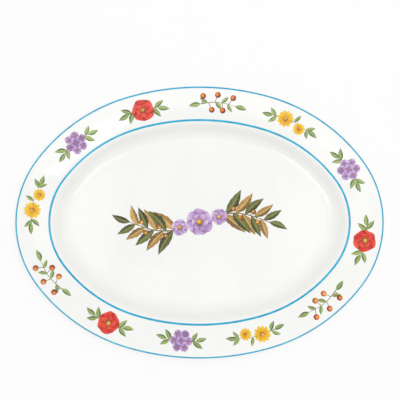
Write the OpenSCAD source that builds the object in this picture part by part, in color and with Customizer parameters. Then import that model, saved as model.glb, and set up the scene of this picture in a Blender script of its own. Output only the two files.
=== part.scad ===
// Oval serving platter in glazed porcelain: wide rim, deep well, foot ring, two enamel lines,
// a ring of printed sprigs on the rim and a printed leafy spray in the well.
// The origin lies on the table under the middle of the foot. +X runs along the platter, +Z is up.

/* [Oval] */
// Length of the platter over the lip
platter_length = 406; // [380:1:440]
// Width of the platter over the lip
platter_width = 300; // [285:1:320]
// Radius of the lip at the two ends
end_radius = 115; // [108:1:122]

/* [Section] */
// Width of the rim on plan, from the lip to the verge
rim_width = 39.5; // [36:0.5:43]
// Rise of the rim from the verge to the lip
rim_rise = 9; // [6:0.5:12]
// Depth of the well, from the verge to the floor
well_depth = 15; // [10:0.5:20]
// Width of the well's wall on plan, from the verge to the floor
wall_run = 12; // [10:0.5:15]
// Thickness of the rim and the wall
wall_thickness = 4.4; // [3.6:0.1:5.4]
// Thickness of the floor
floor_thickness = 5; // [4:0.1:6.5]
// Rounding of the lip's two edges
lip_radius = 1.8; // [1:0.1:2]
// Rounding of the verge
verge_radius = 8; // [5:0.5:10]
// Rounding between the wall and the floor
floor_radius = 18.5; // [12:0.5:22]
// Rounding under the rim, where it meets the back of the wall
under_rim_radius = 8; // [5:0.5:10]
// Rounding between the back of the wall and the base
base_radius = 13; // [8:0.5:14]

/* [Foot] */
// Distance from the lip in to the outer side of the foot
foot_inset = 60.5; // [59:0.5:65]
// Width of the foot's resting face
foot_width = 4; // [3:0.1:6]
// Height of the foot below the base
foot_height = 3; // [2.4:0.1:4.5]
// Taper of each side of the foot over its height
foot_draft = 0.6; // [0.3:0.1:1]
// Rounding of the foot's resting edges
foot_edge = 0.7; // [0.3:0.1:1]
// Rounding where the foot leaves the base
foot_fillet = 1.6; // [1:0.1:2]

/* [Glaze and lines] */
// Thickness of the clear glaze
glaze_thickness = 0.25; // [0.2:0.05:0.5]
// Height of the foot that is wiped bare of glaze
bare_height = 1; // [0.8:0.1:1.2]
// Thickness of the enamel colours
enamel_thickness = 0.1; // [0.08:0.01:0.2]
// Width of the line on the lip, on plan
lip_line_width = 1.7; // [1:0.1:3]
// Distance from the lip to the line on the lip
lip_line_inset = 0.3; // [0.2:0.1:1]
// Width of the line on the verge, on plan
verge_line_width = 2.2; // [1:0.1:4]
// How far the verge line starts outside the verge
verge_line_lead = 3.9; // [2.5:0.1:6]

/* [Rim sprigs] */
// Number of sprigs, of four kinds in turn
sprig_count = 12; // [8:4:12]
// Radius of a red blossom
red_radius = 12; // [9:0.5:13]
// Radius of a red blossom's eye
red_eye_radius = 2.8; // [1.5:0.1:3.2]
// Radius of a lilac floret
floret_radius = 4.8; // [3.5:0.1:5]
// Radius of a floret's eye
floret_eye_radius = 1; // [0.6:0.1:1.2]
// Radius of a large daisy
daisy_radius = 9.5; // [7:0.5:10]
// Radius of a small daisy
small_daisy_radius = 7; // [5:0.5:8]
// Rays of a daisy
daisy_rays = 11; // [8:1:13]
// Radius of a daisy's eye
daisy_eye_radius = 2.4; // [1.5:0.1:2.6]
// Radius of a peach hip
hip_radius = 3.2; // [2:0.1:3.5]
// Length of a leaf on the rim
rim_leaf_length = 17; // [12:0.5:19]
// Width of a leaf on the rim
rim_leaf_width = 6.5; // [4:0.5:8]
// Width of a stem on the rim
rim_stem_width = 0.9; // [0.6:0.1:1.5]
// Half the length of a red blossom's stem
red_stem_half = 16; // [13:0.5:18]
// Half the length of a lilac posy's stem
lilac_stem_half = 16; // [14:0.5:18]
// Half the length of the daisies' stem
daisy_stem_half = 21; // [19:0.5:22]
// Half the length of the hips' stem
hip_stem_half = 19; // [17:0.5:20]
// Rise of a rim stem's bow
sprig_bow = 3; // [1:0.5:4]

/* [Spray in the well] */
// Length of each of the spray's two arms
arm_length = 78; // [70:1:100]
// Rise of an arm's bow
arm_bow = 10; // [0:0.5:14]
// Pairs of leaves on an arm
leaf_pairs = 5; // [4:1:7]
// Length of the leaves next to the middle
spray_leaf_length = 38; // [30:1:42]
// Width of the leaves next to the middle
spray_leaf_width = 12.5; // [9:0.5:14]
// Angle between a leaf and its stem
spray_leaf_angle = 50; // [30:1:55]
// Radius of a berry
berry_radius = 2.7; // [1.5:0.1:3]
// Length of a berry's stalk
berry_stalk = 6; // [5:0.5:7]
// Width of the stem next to the middle
spray_stem_width = 1.8; // [1.2:0.1:2.5]
// Radius of the middle blossom
blossom_radius = 15; // [11:0.5:17]
// Radius of the middle blossom's eye
blossom_eye_radius = 3.6; // [2.5:0.1:4.5]
// Radius of each small blossom beside it
small_blossom_radius = 9; // [6:0.5:10]
// Radius of a small blossom's eye
small_eye_radius = 2.2; // [1.5:0.1:2.6]

/* [Hidden] */
$fn = 96;

// The lip is an oval of eight arcs. Its arcs hand over where the lip's normal lies on a 3-4-5 triangle
// (end to shoulder) and on a 7-24-25 triangle (shoulder to side), so every centre is a round number.
half_length = platter_length / 2;
half_width = platter_width / 2;
side_steps = (half_length - 2 * half_width + end_radius) / 5;
shoulder_steps = (half_width - end_radius - side_steps) / 2;
shoulder_radius = end_radius + 5 * shoulder_steps;
side_radius = shoulder_radius + 25 * side_steps;
end_centre = [half_length - end_radius, 0];
shoulder_centre = end_centre - shoulder_steps * [4, 3];
side_centre = shoulder_centre - side_steps * [7, 24];
end_normal = [4, 3] / 5;
side_normal = [7, 24] / 25;

// Each arc is [centre, radius, first normal, last normal], anticlockwise from the +X end.
oval_arcs = [
    [end_centre, end_radius, flip(end_normal, 1, -1), end_normal],
    [shoulder_centre, shoulder_radius, end_normal, side_normal],
    [side_centre, side_radius, side_normal, flip(side_normal, -1, 1)],
    [flip(shoulder_centre, -1, 1), shoulder_radius, flip(side_normal, -1, 1), flip(end_normal, -1, 1)],
    [flip(end_centre, -1, 1), end_radius, flip(end_normal, -1, 1), flip(end_normal, -1, -1)],
    [flip(shoulder_centre, -1, -1), shoulder_radius, flip(end_normal, -1, -1), flip(side_normal, -1, -1)],
    [flip(side_centre, 1, -1), side_radius, flip(side_normal, -1, -1), flip(side_normal, 1, -1)],
    [flip(shoulder_centre, 1, -1), shoulder_radius, flip(side_normal, 1, -1), flip(end_normal, 1, -1)]];
wedge_length = 2 * max(platter_length, side_radius);

// The section is drawn with x as the distance in from the lip and y as the height over the table.
arc_step = 9;
base_z = foot_height;
floor_z = base_z + floor_thickness;
verge_z = floor_z + well_depth;
lip_z = verge_z + rim_rise;
floor_lap = 8;
foot_inner = foot_inset + foot_width + 2 * foot_draft;
floor_reach = foot_inner + foot_fillet + floor_lap;
rim_slope = atan2(rim_rise, rim_width);
lip_flat = 0.1;
lip_round = min(lip_radius, wall_thickness / 2 - lip_flat);

rim_run = [rim_width, -rim_rise];
wall_fall = [wall_run, -well_depth];
verge = [rim_width, verge_z];
floor_corner = verge + wall_fall;
rim_back = verge - wall_thickness * normal(rim_run);
wall_back = verge - wall_thickness * normal(wall_fall);
lip_edge = [glaze_thickness, lip_z];
lip_top = meet(lip_edge, [0, 1], verge, rim_run);
lip_under = meet(lip_edge, [0, 1], rim_back, rim_run);
lip_share = tan(45 - rim_slope / 2) / (tan(45 - rim_slope / 2) + tan(45 + rim_slope / 2));
lip_middle = lip_under + lip_share * (lip_top - lip_under);
under_rim = meet(rim_back, rim_run, wall_back, wall_fall);
back_foot = meet(wall_back, wall_fall, [0, base_z], [1, 0]);
bare_share = bare_height / foot_height;

face_path = rounded([
    corner(lip_middle),
    corner(lip_top, lip_round),
    corner(verge, verge_radius),
    corner(floor_corner, floor_radius),
    [floor_reach, floor_z, 0]]);
back_path = rounded([
    [foot_inset + foot_draft * (1 - bare_share), bare_height, 0],
    [foot_inset, base_z, foot_fillet],
    corner(back_foot, base_radius),
    corner(under_rim, under_rim_radius),
    corner(lip_under, lip_round),
    corner(lip_middle)]);
base_path = rounded([
    [floor_reach, base_z, 0],
    [foot_inner, base_z, foot_fillet],
    [foot_inner - foot_draft * (1 - bare_share), bare_height, 0]]);
foot_path = rounded([
    corner(base_path[len(base_path) - 1]),
    [foot_inner - foot_draft, 0, foot_edge],
    [foot_inset + foot_draft, 0, foot_edge],
    corner(back_path[0])]);
outer_path = concat(back_path, [for (i = [1:len(face_path) - 1]) face_path[i]]);
glazed_face = parallel(face_path, glaze_thickness);

lip_line_end = lip_line_inset + lip_line_width;
verge_line_start = rim_width - verge_line_lead;
verge_line_end = verge_line_start + verge_line_width;
print_depth = (lip_line_end + verge_line_start) / 2;
well_print_z = floor_z + glaze_thickness;

// The kinds of sprig, in their order along the rim. Each lies along a bowed stem, drawn with +Y to the lip.
red_sprig = 0;
lilac_sprig = 1;
daisy_sprig = 2;
hip_sprig = 3;
sprig_half = [red_stem_half, lilac_stem_half, daisy_stem_half, hip_stem_half];
sprig_kinds = len(sprig_half);
sprig_drop = 1;
// The leaves of each kind, as [share of the stem, angle to the stem, share of the full size].
sprig_leaves = [
    [[0, 180, 0.8], [0.1, 138, 0.75], [0.16, 226, 0.8], [1, 0, 0.8], [0.9, 42, 0.75], [0.84, -46, 0.8]],
    [[0, 180, 0.75], [0.1, 134, 0.8], [0.14, 224, 0.7], [1, 0, 0.75], [0.9, 44, 0.7], [0.86, -44, 0.8]],
    [[0, 180, 0.75], [0.08, 136, 0.65], [0.1, 226, 0.7], [0.58, 70, 0.6],
        [1, 0, 0.75], [0.94, 46, 0.65], [0.95, -46, 0.6]],
    [[0, 180, 0.8], [0.2, 140, 0.6], [0.42, -50, 0.65], [0.6, 48, 0.6], [0.78, -44, 0.6], [1, 0, 0.8]]];

// Petals of each kind of blossom.
red_petal_count = 5;
floret_petal_count = 4;
blossom_petal_count = 6;
small_petal_count = 5;

// Where the heads stand: a ring of florets round a middle one, two daisies, hips along their stem,
// and a small blossom on each side of the middle one in the well.
lilac_ring = 6;
lilac_spread = 8;
lilac_places = [[0, 0], for (i = [1:lilac_ring]) lilac_spread * turned([1, 0], i * 360 / lilac_ring)];
daisy_aside = 7;
daisy_rise = 1;
daisy_place = [-daisy_aside, daisy_rise];
small_daisy_aside = 11;
small_daisy_drop = 3;
small_daisy_place = [small_daisy_aside, -small_daisy_drop];
hip_shares = [0.1, 0.3, 0.48, 0.68, 0.88];
hip_stand = 8;
stalk_lead_share = 0.07;
small_aside = 22;
small_rise = 6;
small_places = [[small_aside, small_rise], [-small_aside, -small_rise]];

// How far neighbouring petals overlap, where a daisy's rays start, and their width, as shares of a radius.
petal_overlap = 1.12;
ray_start = 0.2;
ray_slimness = 0.42;
stem_taper = 0.6;
stem_steps = 10;

// Where an arm's leaves start and end along its stem, and how much they have shrunk at its tip.
first_leaf_share = 0.36;
last_leaf_share = 0.9;
shrink_share = 0.42;
stagger_share = 0.02;
// The two tones of leaf, named by the side of an arm on which each comes first: 1 is left, -1 is right.
dark_tone = 1;
light_tone = -1;

// Mirrors a point in the axes: fx and fy are 1 or -1.
function flip(p, fx, fy) = [p.x * fx, p.y * fy];

// Rounds a point to the hundredth of a millimetre, so that neighbouring arcs share their corners.
function hundredth(p) = [round(p.x * 100) / 100, round(p.y * 100) / 100];

// The left-hand normal of a direction, one unit long.
function normal(u) = [-u.y, u.x] / norm(u);

// Where the line through p along u meets the line through q along v.
function meet(p, u, q, v) = p + u * cross(q - p, v) / cross(u, v);

// A corner of a path, with its rounding.
function corner(p, radius = 0) = [p.x, p.y, radius];

// A path through corners, each turned by an arc of its own radius.
function rounded(corners) = [
    for (i = [0:len(corners) - 1])
        each corners[i][2] == 0 ? [hundredth(corners[i])] : turn(corners[i - 1], corners[i], corners[i + 1])];

// The points of the arc that rounds corner b between a and c.
function turn(a, b, c) =
    let (p = [b.x, b.y])
    let (back = [a.x, a.y] - p)
    let (on = [c.x, c.y] - p)
    let (ways = back / norm(back) + on / norm(on))
    let (half = acos(back * on / norm(back) / norm(on)) / 2)
    let (centre = p + ways / norm(ways) * b[2] / sin(half))
    let (first = p + back / norm(back) * b[2] / tan(half) - centre)
    let (sweep = (180 - 2 * half) * sign(cross(on, back)))
    let (steps = max(2, ceil(abs(sweep) / arc_step)))
    [for (i = [0:steps]) hundredth(centre + turned(first, sweep * i / steps))];

// A point turned about the origin.
function turned(p, angle) = [p.x * cos(angle) - p.y * sin(angle), p.x * sin(angle) + p.y * cos(angle)];

// A path moved off its surface by t.
function parallel(path, t) = [
    for (i = [0:len(path) - 1])
        let (before = path[max(i - 1, 0)])
        let (after = path[min(i + 1, len(path) - 1)])
        hundredth(path[i] + t * normal(after - before))];

function reversed(list) = [for (i = [len(list) - 1:-1:0]) list[i]];

// A closed section of thickness t that lies on a path.
function layer(path, t) = concat(path, reversed(parallel(path, t)));

// The glazed face between two distances from the lip.
function face_stretch(from, to) = concat(
    [hundredth([from, lookup(from, glazed_face)])],
    [for (p = glazed_face) if (p.x > from && p.x < to) p],
    [hundredth([to, lookup(to, glazed_face)])]);

function heading(u) = atan2(u.y, u.x);
function arc_start(arc) = heading(arc[2]);
function arc_turn(arc) = (heading(arc[3]) - heading(arc[2]) + 360) % 360;
function arc_point(arc, depth, angle) = arc[0] + (arc[1] - depth) * [cos(angle), sin(angle)];
function arc_run(arc, depth) = (arc[1] - depth) * arc_turn(arc) * PI / 180;

// The place on the oval at a distance along it, as [point, direction of the lip's normal].
function along(run, depth, i = 0) =
    let (arc = oval_arcs[i])
    let (own = arc_run(arc, depth))
    run > own && i < len(oval_arcs) - 1
        ? along(run - own, depth, i + 1)
        : let (angle = arc_start(arc) + arc_turn(arc) * run / own)
          [arc_point(arc, depth, angle), angle];

function sum(list, i = 0) = i < len(list) ? list[i] + sum(list, i + 1) : 0;
sprig_pitch = sum([for (arc = oval_arcs) arc_run(arc, print_depth)]) / sprig_count;

// A point at share t of a bowed line, and the line's direction there.
function bowed(from, to, bow, t) = from + t * (to - from) + bow * sin(180 * t) * normal(to - from);
function bowed_heading(from, to, bow, t) =
    heading(to - from + bow * PI * cos(180 * t) * normal(to - from));

// The end of a stalk that stands off a bowed line.
function stalk_end(from, to, bow, t, stand) =
    bowed(from, to, bow, t) + stand * turned([0, 1], bowed_heading(from, to, bow, t));
function other_side(i) = i % 2 == 0 ? 1 : -1;

function sprig_from(kind) = [-sprig_half[kind], -sprig_drop];
function sprig_to(kind) = [sprig_half[kind], -sprig_drop];
function sprig_point(kind, t) = bowed(sprig_from(kind), sprig_to(kind), sprig_bow, t);
hip_from = sprig_from(hip_sprig);
hip_to = sprig_to(hip_sprig);
hip_places = [for (i = [0:len(hip_shares) - 1])
    stalk_end(hip_from, hip_to, sprig_bow, hip_shares[i], hip_stand * other_side(i))];

arm_tip = [arm_length, 0];
function arm_point(t) = bowed([0, 0], arm_tip, arm_bow, t);
function arm_heading(t) = bowed_heading([0, 0], arm_tip, arm_bow, t);
function leaf_share(i) = first_leaf_share + (last_leaf_share - first_leaf_share) * i / (leaf_pairs - 1);
function leaf_way(t, side) = arm_heading(t) + side * spray_leaf_angle;
function berry_share(i) = (leaf_share(i) + leaf_share(i + 1)) / 2 + other_side(i) * stagger_share;
function berry_place(i) =
    arm_point(berry_share(i)) + berry_stalk * turned([1, 0], leaf_way(berry_share(i), other_side(i)));

// Sweeps a section round the oval, one arc at a time.
module sweep_oval(section) {
    for (arc = oval_arcs)
        intersection() {
            translate(arc[0])
                rotate_extrude()
                    polygon([for (p = section) [arc[1] - p.x, p.y]]);
            wedge(arc);
        }
}

// The upright wedge that an arc's two end normals bound.
module wedge(arc) {
    translate([0, 0, -1])
        linear_extrude(lip_z + 2)
            polygon([arc[0], arc[0] + wedge_length * arc[2], arc[0] + wedge_length * arc[3]]);
}

// A flat plate that fills the oval inside a distance from the lip.
module oval_plate(depth, thickness) {
    linear_extrude(thickness)
        polygon([
            for (arc = oval_arcs)
                for (angle = [0:arc_step:arc_turn(arc) - arc_step / 2])
                    arc_point(arc, depth, arc_start(arc) + angle)]);
}

// A colour on the rim: the flat drawing, laid on the glazed rim.
module rim_print() {
    intersection() {
        sweep_oval(layer(face_stretch(lip_line_end, verge_line_start), enamel_thickness));
        translate([0, 0, verge_z - 1])
            linear_extrude(rim_rise + 2)
                children();
    }
}

// A colour in the well: the flat drawing, laid on the glazed floor.
module well_print() {
    translate([0, 0, well_print_z])
        linear_extrude(enamel_thickness)
            children();
}

// Every sprig of one kind, drawn with +Y to the lip.
module each_sprig(kind) {
    for (i = [kind:sprig_kinds:sprig_count - 1]) {
        place = along((i + 0.5) * sprig_pitch, print_depth);
        translate(place[0])
            rotate(place[1] - 90)
                children();
    }
}

// A leaf from the origin along +X, between two arcs.
module leaf(length, width) {
    arc_radius = (length * length + width * width) / (4 * width);
    intersection() {
        translate([length / 2, arc_radius - width / 2])
            circle(arc_radius);
        translate([length / 2, width / 2 - arc_radius])
            circle(arc_radius);
    }
}

// A blossom of round petals.
module blossom(count, radius) {
    petal_radius = radius * sin(180 / count) / (1 + sin(180 / count)) * petal_overlap;
    for (i = [0:count - 1])
        rotate(90 + i * 360 / count)
            translate([radius - petal_radius, 0])
                circle(petal_radius);
    circle(radius - petal_radius);
}

// A blossom of narrow rays.
module daisy(radius) {
    for (i = [0:daisy_rays - 1])
        rotate(90 + i * 360 / daisy_rays)
            translate([radius * ray_start, 0])
                leaf(radius * (1 - ray_start), radius * ray_slimness);
    circle(radius * 2 * ray_start);
}

// A bowed stem that narrows towards its tip.
module stem(from, to, bow, width) {
    steps = [for (i = [0:stem_steps]) i / stem_steps];
    polygon(concat(
        [for (t = steps) bowed(from, to, bow, t) + stem_side(from, to, bow, width, t)],
        reversed([for (t = steps) bowed(from, to, bow, t) - stem_side(from, to, bow, width, t)])));
}

// Half of a stem's width, square to the stem.
function stem_side(from, to, bow, width, t) =
    width / 2 * (1 - stem_taper * t) * turned([0, 1], bowed_heading(from, to, bow, t));

// The leaves of a sprig, each with its foot on the stem.
module sprig_leaf_set(kind) {
    for (l = sprig_leaves[kind])
        translate(sprig_point(kind, l[0]))
            rotate(bowed_heading(sprig_from(kind), sprig_to(kind), sprig_bow, l[0]) + l[1])
                leaf(rim_leaf_length * l[2], rim_leaf_width * l[2]);
}

module dots(places, radius) {
    for (p = places)
        translate(p)
            circle(radius);
}

module blossoms(places, count, radius) {
    for (p = places)
        translate(p)
            blossom(count, radius);
}

module red_heads() each_sprig(red_sprig) blossom(red_petal_count, red_radius);
module lilac_heads() each_sprig(lilac_sprig) blossoms(lilac_places, floret_petal_count, floret_radius);
module hip_heads() each_sprig(hip_sprig) dots(hip_places, hip_radius);
module yellow_heads() {
    each_sprig(daisy_sprig) {
        translate(daisy_place) daisy(daisy_radius);
        translate(small_daisy_place) daisy(small_daisy_radius);
    }
}

module head_eyes() {
    each_sprig(red_sprig) circle(red_eye_radius);
    each_sprig(lilac_sprig) dots(lilac_places, floret_eye_radius);
    each_sprig(daisy_sprig) {
        translate(daisy_place) circle(daisy_eye_radius);
        translate(small_daisy_place) circle(daisy_eye_radius * small_daisy_radius / daisy_radius);
    }
}

// The room that the heads of the sprigs take, which leaves and stems keep clear of.
module head_discs() {
    each_sprig(red_sprig) circle(red_radius);
    each_sprig(lilac_sprig) circle(lilac_spread + floret_radius);
    each_sprig(daisy_sprig) {
        translate(daisy_place) circle(daisy_radius);
        translate(small_daisy_place) circle(small_daisy_radius);
    }
    hip_heads();
}

module rim_foliage() {
    for (kind = [0:sprig_kinds - 1])
        each_sprig(kind) sprig_leaf_set(kind);
}

module rim_twigs() {
    for (kind = [0:sprig_kinds - 1])
        each_sprig(kind) stem(sprig_from(kind), sprig_to(kind), sprig_bow, rim_stem_width);
    each_sprig(hip_sprig)
        for (i = [0:len(hip_shares) - 1])
            stem(sprig_point(hip_sprig, hip_shares[i] - stalk_lead_share), hip_places[i], 0, rim_stem_width);
}

// Both arms of the spray: the second is the first, turned half round.
module both_arms() {
    for (half = [0, 180])
        rotate(half)
            children();
}

// A leaf of an arm, on its left side (1) or its right side (-1).
module arm_leaf(i, side) {
    t = leaf_share(i) + side * stagger_share;
    size = 1 - shrink_share * t;
    translate(arm_point(t))
        rotate(leaf_way(t, side))
            leaf(spray_leaf_length * size, spray_leaf_width * size);
}

// The leaves of one tone. The two tones take turns along each side, so every pair has one of each.
module arm_leaves(tone) {
    for (side = [1, -1]) {
        first = side == tone ? 0 : 1;
        for (i = [first:2:leaf_pairs - 1])
            arm_leaf(i, side);
    }
}

module arm_end_leaf() {
    translate(arm_tip)
        rotate(arm_heading(1))
            leaf(spray_leaf_length * (1 - shrink_share), spray_leaf_width * (1 - shrink_share));
}

module dark_foliage() {
    both_arms() {
        arm_leaves(dark_tone);
        arm_end_leaf();
    }
}

module arm_berries() {
    for (i = [0:leaf_pairs - 2])
        translate(berry_place(i))
            circle(berry_radius);
}

module arm_stems() {
    stem([0, 0], arm_tip, arm_bow, spray_stem_width);
    for (i = [0:leaf_pairs - 2])
        stem(arm_point(berry_share(i)), berry_place(i), 0, spray_stem_width / 2);
}

module spray_heads() {
    blossom(blossom_petal_count, blossom_radius);
    blossoms(small_places, small_petal_count, small_blossom_radius);
}

// The room that the spray's blossoms and berries take.
module spray_discs() {
    circle(blossom_radius);
    dots(small_places, small_blossom_radius);
    both_arms() arm_berries();
}

module spray_head_eyes() {
    circle(blossom_eye_radius);
    dots(small_places, small_eye_radius);
}

// Biscuit porcelain: floor, wall, rim, lip and foot ring.
module porcelain_body() {
    color("linen") {
        sweep_oval(concat(outer_path, base_path, [for (i = [1:len(foot_path) - 2]) foot_path[i]]));
        translate([0, 0, base_z])
            oval_plate(floor_reach - floor_lap / 2, floor_thickness);
    }
}

// Clear glaze over the face, the lip and the back, down to the foot.
module glaze_coat() {
    color("white") {
        sweep_oval(layer(outer_path, glaze_thickness));
        translate([0, 0, floor_z])
            oval_plate(floor_reach - floor_lap / 2, glaze_thickness);
    }
}

// Clear glaze over the base, inside the foot ring.
module base_glaze() {
    color("white") {
        sweep_oval(layer(base_path, glaze_thickness));
        translate([0, 0, base_z - glaze_thickness])
            oval_plate(floor_reach - floor_lap / 2, glaze_thickness);
    }
}

module lip_line() {
    color("steelblue")
        sweep_oval(layer(face_stretch(lip_line_inset, lip_line_end), enamel_thickness));
}

module verge_line() {
    color("steelblue")
        sweep_oval(layer(face_stretch(verge_line_start, verge_line_end), enamel_thickness));
}

module red_petals() {
    color("firebrick")
        rim_print()
            difference() {
                red_heads();
                head_eyes();
            }
}

module yellow_petals() {
    color("gold")
        rim_print()
            difference() {
                yellow_heads();
                head_eyes();
            }
}

module lilac_petals() {
    color("mediumpurple")
        rim_print()
            difference() {
                lilac_heads();
                head_eyes();
            }
}

module peach_hips() {
    color("coral")
        rim_print()
            hip_heads();
}

module rim_eyes() {
    color("darkgoldenrod")
        rim_print()
            head_eyes();
}

module rim_leaves() {
    color("olivedrab")
        rim_print()
            difference() {
                rim_foliage();
                rim_twigs();
                head_discs();
            }
}

module rim_stems() {
    color("sienna")
        rim_print()
            difference() {
                rim_twigs();
                head_discs();
            }
}

module spray_stems() {
    color("saddlebrown")
        well_print()
            difference() {
                both_arms() arm_stems();
                spray_discs();
            }
}

// Amber leaves, which lie behind the dark ones.
module spray_light_leaves() {
    color("peru")
        well_print()
            difference() {
                both_arms() arm_leaves(light_tone);
                dark_foliage();
                both_arms() arm_stems();
                spray_discs();
            }
}

module spray_dark_leaves() {
    color("darkolivegreen")
        well_print()
            difference() {
                dark_foliage();
                both_arms() arm_stems();
                spray_discs();
            }
}

module spray_berries() {
    color("goldenrod")
        well_print()
            both_arms() arm_berries();
}

module spray_blossoms() {
    color("orchid")
        well_print()
            difference() {
                spray_heads();
                spray_head_eyes();
            }
}

module spray_eyes() {
    color("gold")
        well_print()
            spray_head_eyes();
}

porcelain_body();
glaze_coat();
base_glaze();
lip_line();
verge_line();
red_petals();
yellow_petals();
lilac_petals();
peach_hips();
rim_eyes();
rim_leaves();
rim_stems();
spray_stems();
spray_light_leaves();
spray_dark_leaves();
spray_berries();
spray_blossoms();
spray_eyes();
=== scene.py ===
# Oval porcelain serving platter with two blue lines and printed flowers, seen from straight above.
# Lengths in the dictionaries are millimetres, angles are degrees and colours are sRGB hex.

import math
import random
import bmesh
import bpy
from mathutils import Matrix, Vector


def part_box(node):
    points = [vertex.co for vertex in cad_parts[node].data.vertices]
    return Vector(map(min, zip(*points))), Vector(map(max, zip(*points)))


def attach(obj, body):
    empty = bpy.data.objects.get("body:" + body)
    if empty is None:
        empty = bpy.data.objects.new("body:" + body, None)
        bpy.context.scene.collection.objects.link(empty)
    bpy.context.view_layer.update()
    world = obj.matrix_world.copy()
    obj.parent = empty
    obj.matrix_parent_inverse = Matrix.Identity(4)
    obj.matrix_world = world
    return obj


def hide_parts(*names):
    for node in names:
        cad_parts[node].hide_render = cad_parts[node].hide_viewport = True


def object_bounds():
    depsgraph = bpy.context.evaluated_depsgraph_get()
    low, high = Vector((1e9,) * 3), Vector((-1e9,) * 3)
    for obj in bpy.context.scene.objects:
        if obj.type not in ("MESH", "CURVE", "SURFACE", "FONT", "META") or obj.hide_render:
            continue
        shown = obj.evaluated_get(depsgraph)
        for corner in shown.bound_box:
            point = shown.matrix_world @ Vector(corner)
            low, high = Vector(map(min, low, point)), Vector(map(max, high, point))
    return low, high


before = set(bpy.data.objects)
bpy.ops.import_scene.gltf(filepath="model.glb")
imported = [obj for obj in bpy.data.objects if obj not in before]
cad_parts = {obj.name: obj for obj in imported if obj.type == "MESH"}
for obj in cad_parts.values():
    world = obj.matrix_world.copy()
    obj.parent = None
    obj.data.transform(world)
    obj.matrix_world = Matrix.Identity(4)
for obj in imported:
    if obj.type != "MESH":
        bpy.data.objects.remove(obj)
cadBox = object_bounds()
scene = bpy.context.scene
scene.view_settings.view_transform = "Standard"
mm = 0.001
print("frame loaded:", len(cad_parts), "nodes")


# Camera: over the platter, a little to +Y of its middle, so that the platter sits low in the picture

view = {"lens": 100, "sensor": 36, "aside": 0.5, "up": 24.8, "overLip": 1222}

cameraData = bpy.data.cameras.new("camera")
cameraData.lens = view["lens"]
cameraData.sensor_width = view["sensor"]
camera = bpy.data.objects.new("camera", cameraData)
camera.location = (view["aside"] * mm, view["up"] * mm, cadBox[1].z + view["overLip"] * mm)
scene.collection.objects.link(camera)
bpy.context.scene.camera = camera
print("camera over the platter at", [round(c, 4) for c in camera.location])


# Small helpers for materials and meshes

def hexColour(code):                                  # sRGB hex to linear RGBA
    parts = [int(code[i:i + 2], 16) / 255 for i in (1, 3, 5)]
    return [c / 12.92 if c <= 0.04045 else ((c + 0.055) / 1.055) ** 2.4 for c in parts] + [1.0]


def perMetre(size):                                   # texture scale for a pattern of this size
    return 1 / (size * mm)


def addNode(material, kind, settings={}, links={}):
    node = material.node_tree.nodes.new(kind)
    for name, value in settings.items():
        if name == "stops":                           # a ramp's (position, hex) pairs
            ramp = node.color_ramp
            ramp.elements.remove(ramp.elements[1])
            ramp.elements[0].position = value[0][0]
            ramp.elements[0].color = hexColour(value[0][1])
            for position, code in value[1:]:
                ramp.elements.new(position).color = hexColour(code)
        else:
            setattr(node, name, value)
    for socket, source in links.items():              # a socket to link from, or a value to set
        if isinstance(source, bpy.types.NodeSocket):
            material.node_tree.links.new(source, node.inputs[socket])
        else:
            node.inputs[socket].default_value = source
    return node


def newMaterial(name):
    material = bpy.data.materials.new(name)
    material.use_nodes = True
    material.node_tree.nodes.clear()
    return material


mixA, mixB, mixOut = 6, 7, 2                          # the colour sockets of a Mix node


def finishPiece(bm, name, material, node, sharpAngle=50):
    mesh = bpy.data.meshes.new(name)
    bm.to_mesh(mesh)
    bm.free()
    mesh.shade_smooth()
    mesh.set_sharp_from_angle(angle=math.radians(sharpAngle))
    mesh.materials.append(material)
    piece = bpy.data.objects.new(name, mesh)
    scene.collection.objects.link(piece)
    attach(piece, "root")
    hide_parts(node)
    print("made", name, "with", len(mesh.polygons), "faces")
    return piece


# The oval lip: eight arcs, which hand over where the lip's normal lies on a 3-4-5 and a 7-24-25 triangle

oval = {"endRadius": 115, "endSteps": 52, "shoulderSteps": 32, "sideSteps": 36, "seamGap": 0.005}

ovalLow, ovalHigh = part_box("glaze_coat")
halfLength = (ovalHigh.x - ovalLow.x) / 2 / mm
halfWidth = (ovalHigh.y - ovalLow.y) / 2 / mm
endRadius = oval["endRadius"]
sideUnit = (halfLength - 2 * halfWidth + endRadius) / 5
shoulderUnit = (halfWidth - endRadius - sideUnit) / 2
shoulderRadius = endRadius + 5 * shoulderUnit
sideRadius = shoulderRadius + 25 * sideUnit
endCentre = Vector((halfLength - endRadius, 0))
shoulderCentre = endCentre - shoulderUnit * Vector((4, 3))
sideCentre = shoulderCentre - sideUnit * Vector((7, 24))
endTurn = math.atan2(3, 4)
sideTurn = math.atan2(24, 7)

# centre, radius, first normal, turn and steps of each arc, anticlockwise from the +X end
halfArcs = [
    (endCentre, endRadius, -endTurn, 2 * endTurn, oval["endSteps"]),
    (shoulderCentre, shoulderRadius, endTurn, sideTurn - endTurn, oval["shoulderSteps"]),
    (sideCentre, sideRadius, sideTurn, math.pi - 2 * sideTurn, oval["sideSteps"]),
    (Vector((-shoulderCentre.x, shoulderCentre.y)), shoulderRadius, math.pi - sideTurn,
     sideTurn - endTurn, oval["shoulderSteps"]),
]
ovalArcs = halfArcs + [(-centre, radius, first + math.pi, turn, steps)
                       for centre, radius, first, turn, steps in halfArcs]
quarterArcs = [(endCentre, endRadius, endTurn), (shoulderCentre, shoulderRadius, sideTurn),
               (sideCentre, sideRadius, math.pi)]


def depthAt(x, y):                                    # distance in from the lip, on plan
    for centre, radius, lastTurn in quarterArcs:
        off = Vector((abs(x), abs(y))) - centre
        if math.atan2(off.y, off.x) <= lastTurn:
            return radius - off.length


def alongOval(run, depth):                            # place on the oval, and the lip's normal there
    for centre, radius, first, turn, steps in ovalArcs:
        own = (radius - depth) * turn
        if run <= own:
            break
        run -= own
    angle = first + turn * run / own
    return centre + (radius - depth) * Vector((math.cos(angle), math.sin(angle))), angle


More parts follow.
